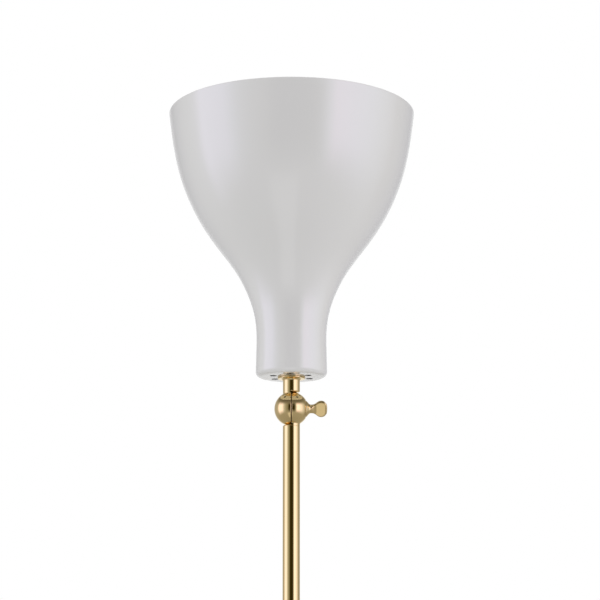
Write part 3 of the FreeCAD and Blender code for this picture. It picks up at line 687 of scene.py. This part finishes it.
def inlet_bush_mesh():
    me = lathe(outline([(3.5, 112.5), (5.4, 112.5, 0.4), (5.4, 130.1), (7.6, 130.1), (7.6, 131.9, 0.8), (4.4, 131.9, 0.3),
                        (3.5, 131.0)]), 96, "Y")
    me.transform(Matrix.Translation((0, 0, 9.6)))
    return me


def collar_mesh():
    return lathe(outline([(5.2, 25), (19, 25, 0.6), (19, 28.2, 1.2), (12.2, 30, 2.4), (9, 42.5, 1.0), (6.4, 42.5), (6.4, 27), (5.2, 27)]),
                 144)


# ------------------------------------------------------------------ build the visible pieces
shade = piece("shade_spun", shade_mesh(), "shade", HEAD_Z, ENAMEL)
# painted shade: the inside of the shade's foot round the lampholder, and the floor round the vents, are coloured
# near-black to stand in for the shade there
shade.data.materials.append(FOOT_PAINTED_SHADE)
for f in shade.data.polygons:
    c = f.center * 1000.0
    h = c.z - HEAD_Z - SHADE_FLOOR
    r = math.hypot(c.x, c.y)
    inward = (f.normal.x * c.x + f.normal.y * c.y) / max(r, 1e-6)
    if (0.9 < h < 14.0 and (f.normal.z > 0.2 or inward < -0.2)) or (0.1 < h < 0.9 and 12.0 < r < 18.0):
        f.material_index = 1
stub = half_ball(STUB_TOP, False)
upper = half_ball(TUBE_SEAT, True)
clamp = clamp_half()
screw = thumb_screw()
piece("knuckle_head_upper", stub, "head_upper_knuckle", HEAD_Z, BRASS)
piece("knuckle_head_lower", clamp, "head_lower_knuckle", HEAD_Z, BRASS)
piece("knuckle_elbow_upper", upper, "elbow_upper_knuckle", ELBOW_Z, BRASS)
piece("knuckle_elbow_lower", clamp, "elbow_lower_knuckle", ELBOW_Z, BRASS)
for at, dz in (("head", HEAD_Z), ("elbow", ELBOW_Z)):
    piece("friction_ring_" + at, friction_ring(), at + "_friction_washer", dz, FIBRE)
    piece("screw_washer_" + at, screw_washer(), at + "_screw_washer", dz, BRASS)
    piece("spade_screw_" + at, screw, at + "_thumb_screw", dz, BRASS)

z0 = SHADE_FLOOR
piece("seat_ring_turned", lathe(outline([(5.0, STUB_TOP), (R_TUBE, STUB_TOP), (R_TUBE, z0 - 1.4, 1.75), (10.25, z0 - 1.4, 0.5),
                                         (10.25, z0, 0.35), (5.0, z0)], step=0.09), 144), "shade_seat_ring", HEAD_Z, BRASS)

piece("tube_lower", lathe(outline([(R_BORE, 27.0), (R_TUBE, 27.0), (R_TUBE, ELBOW_Z - TUBE_SEAT), (R_BORE, ELBOW_Z - TUBE_SEAT)]), 128),
      "lower_stem_tube", 0, BRASS_TUBE)
piece("tube_arm", lathe(outline([(R_BORE, ELBOW_Z + TUBE_SEAT), (R_TUBE, ELBOW_Z + TUBE_SEAT), (R_TUBE, HEAD_Z - TUBE_SEAT),
                                 (R_BORE, HEAD_Z - TUBE_SEAT)]), 128), "arm_tube", 0, BRASS_TUBE)

piece("socket_cap_moulded", socket_cap_mesh(), "socket_cap", HEAD_Z, PHENOLIC)
piece("socket_body_moulded", socket_body_mesh(), "socket_body", HEAD_Z, PHENOLIC)
piece("lamp_glass_blown", bulb_mesh(), "bulb_glass", HEAD_Z, FROSTED)
piece("base_cover_spun", base_cover_mesh(), "base_cover", 0, BRASS_SPUN)
piece("stem_collar_turned", collar_mesh(), "stem_collar", 0, BRASS)
piece("cord_inlet_bush_moulded", inlet_bush_mesh(), "cord_inlet_bush", 0, PHENOLIC)
piece("base_felt_disc", lathe(outline([(0, 0), (121, 0, 0.5), (121, 2), (0, 2)], closed=False), 256, closed=False), "base_felt_pad", 0, FELT)

# ------------------------------------------------------------------ stage, light, camera
def stage_material():
    m, nt, b = new_mat("floor_pale")
    v = coords(nt)
    col = ramp(nt, noise(nt, v, 3.0, 5.0, 0.6), [(0.3, (0.93, 0.93, 0.925)), (0.7, (0.955, 0.955, 0.95))])
    nt.links.new(col, b.inputs["Base Color"])
    b.inputs["Roughness"].default_value = 0.7
    bump(nt, b, [(noise(nt, v, 60.0, 4.0, 0.6), 0.05, 0.001)])
    return m


bm = bmesh.new()
bmesh.ops.create_circle(bm, cap_ends=True, radius=14.0, segments=160)
floor = bpy.data.objects.new("floor", mesh_of(bm))
floor.data.materials.append(stage_material())
floor.location.z = -0.0006
bpy.context.scene.collection.objects.link(floor)
floor.visible_glossy = False   # polished and painted surfaces see the studio below them, not this disc
floor.visible_diffuse = False


# The studio around the lamp, as (azimuth in degrees, R, G, B); azimuth 0 is behind the camera, positive to
# the right. Two tall softboxes with soft edges, a dark gap at the camera, grey sweeps between and behind.
ENV = [(-180, .95, .95, .95), (-164, .85, .85, .85), (-150, .46, .46, .46), (-133, .46, .45, .45), (-114, .50, .49, .48), (-103, .62, .60, .64),
       (-93, 1.36, 1.25, 1.60), (-67, 1.38, 1.29, 1.68), (-58, .98, .98, 1.20), (-51, .66, .67, .74), (-38, .40, .405, .37),
       (-24, .25, .24, .175), (-17, .06, .05, .022), (-10, .036, .027, .005), (17, .034, .025, .004), (24, .11, .10, .06),
       (30, .42, .43, .42), (37, 1.15, 1.10, 1.28), (43, 1.75, 1.42, 1.82), (52, 1.58, 1.34, 1.72), (62, 1.38, 1.24, 1.58), (75, 1.12, 1.08, 1.34),
       (94, .70, .70, .76), (116, .31, .28, .245), (135, .38, .37, .37), (152, .48, .48, .49), (164, .85, .85, .85), (180, .95, .95, .95)]
# the same studio as painted surfaces are lit by it, with the lit backdrop behind the lamp
FILL = [(-180, 1.60), (-125, 1.52), (-100, 1.42), (-64, 1.22), (-46, .72), (-20, .50), (14, .50), (28, .66), (40, 1.25), (66, 1.25),
        (100, 1.42), (125, 1.52), (180, 1.60)]
world = bpy.data.worlds.new("studio")
bpy.context.scene.world = world
world.use_nodes = True
wn = world.node_tree
for n_ in list(wn.nodes):
    wn.nodes.remove(n_)


def wnode(kind, **props):
    n = wn.nodes.new(kind)
    for key, v in props.items():
        setattr(n, key, v)
    return n


def wmath(op, a_, b_=None):
    m = wnode("ShaderNodeMath", operation=op)
    for i, v in enumerate((a_, b_)):
        if v is None:
            continue
        if isinstance(v, (int, float)):
            m.inputs[i].default_value = v
        else:
            wn.links.new(v, m.inputs[i])
    return m.outputs[0]


def wstep(x, lo, hi):
    m = wnode("ShaderNodeMapRange", interpolation_type="SMOOTHSTEP")
    m.inputs["From Min"].default_value = math.radians(lo)
    m.inputs["From Max"].default_value = math.radians(hi)
    wn.links.new(x, m.inputs["Value"])
    return m.outputs["Result"]


def wramp(fac_, stops):
    r_ = wnode("ShaderNodeValToRGB")
    els = r_.color_ramp.elements
    while len(els) < len(stops):
        els.new(0.5)
    for e_, (pos, col) in zip(els, stops):
        e_.position = pos
        e_.color = (*col, 1)
    wn.links.new(fac_, r_.inputs["Fac"])
    return r_.outputs["Color"]


def wmix(fac_, a_, b_):
    m = wnode("ShaderNodeMix", data_type="RGBA")
    wn.links.new(fac_, [i for i in m.inputs if i.name == "Factor" and i.type == "VALUE"][0])
    wn.links.new(a_, [i for i in m.inputs if i.name == "A" and i.type == "RGBA"][0])
    wn.links.new(b_, [i for i in m.inputs if i.name == "B" and i.type == "RGBA"][0])
    return [o for o in m.outputs if o.type == "RGBA"][0]


def background(col, strength):
    b_ = wnode("ShaderNodeBackground")
    if isinstance(col, tuple):
        b_.inputs["Color"].default_value = col
    else:
        wn.links.new(col, b_.inputs["Color"])
    b_.inputs["Strength"].default_value = strength
    return b_.outputs["Background"]


def mix_shader(fac_, a_, b_):
    m = wnode("ShaderNodeMixShader")
    wn.links.new(fac_, m.inputs["Fac"])
    wn.links.new(a_, m.inputs[1])
    wn.links.new(b_, m.inputs[2])
    return m.outputs["Shader"]


wsep = wnode("ShaderNodeSeparateXYZ")
wn.links.new(wnode("ShaderNodeTexCoord").outputs["Generated"], wsep.inputs[0])
azim = wmath("ARCTAN2", wsep.outputs["X"], wmath("MULTIPLY", wsep.outputs["Y"], -1.0))
elev = wmath("ARCSINE", wsep.outputs["Z"])
turn = wmath("ADD", wmath("DIVIDE", azim, 2 * math.pi), 0.5)
around = wramp(turn, [((d + 180) / 360, (r_, g_, b_)) for d, r_, g_, b_ in ENV])
height = wmath("ADD", wmath("DIVIDE", elev, math.pi), 0.5)


def at(deg):
    return (deg + 90) / 180


# what polished surfaces see above and below the softboxes, and what lights the painted ones
GLOSS_SKY = [(at(-90), (.34, .33, .30)), (at(-60), (.37, .355, .325)), (at(-30), (.40, .385, .355)), (at(0), (.36, .35, .33)),
             (at(35), (.22, .21, .19)), (at(50), (.14, .13, .115)), (at(90), (.30, .29, .28))]
FILL_SKY = [(at(-90), (.70, .70, .70)), (at(-30), (.86, .86, .86)), (at(0), (.755, .755, .755)), (at(40), (.85, .85, .85)),
            (at(90), (1.0, 1.0, 1.0))]
azd = wmath("MULTIPLY", azim, 1.0)
patch = wmath("MULTIPLY", wmath("MULTIPLY", wstep(azd, -36, -20), wmath("SUBTRACT", 1.0, wstep(azd, 3, 14))),
              wmath("MULTIPLY", wstep(elev, -72, -60), wmath("SUBTRACT", 1.0, wstep(elev, -38, -27))))
window = wmath("MULTIPLY", wstep(elev, -34, -6), wmath("SUBTRACT", 1.0, wstep(elev, 16, 38)))
gloss = wmix(window, wmix(patch, wramp(height, GLOSS_SKY), wramp(height, [(0.0, (.70, .68, .66)), (1.0, (.70, .68, .66))])), around)
lit_by = wramp(turn, [((d + 180) / 360, (v, v, v * 0.99)) for d, v in FILL])
fill = wmix(wmath("MULTIPLY", window, 0.8), wramp(height, FILL_SKY), lit_by)
lp = wnode("ShaderNodeLightPath")
lit = mix_shader(lp.outputs["Is Diffuse Ray"], background(gloss, 1.0), background(fill, 1.05))
wout = wnode("ShaderNodeOutputWorld")
wn.links.new(mix_shader(lp.outputs["Is Camera Ray"], lit, background((1, 1, 1, 1), 1.0)), wout.inputs["Surface"])

cam = bpy.data.cameras.new("camera")
cam_ob = bpy.data.objects.new("camera", cam)
bpy.context.scene.collection.objects.link(cam_ob)
cam.sensor_width = 36.0
cam.lens = 36.0 * 1907.0 / 600.0
cam.clip_start = 0.05
cam.clip_end = 50.0
cam_ob.location = (0.00639, -1.4029, HEAD_Z / 1000.0 - 0.2134)
cam_ob.rotation_euler = (math.pi / 2 + 0.208, 0.0, 0.0)
bpy.context.scene.camera = cam_ob
bpy.context.scene.view_settings.view_transform = "Standard"
bpy.context.scene.view_settings.look = "None"
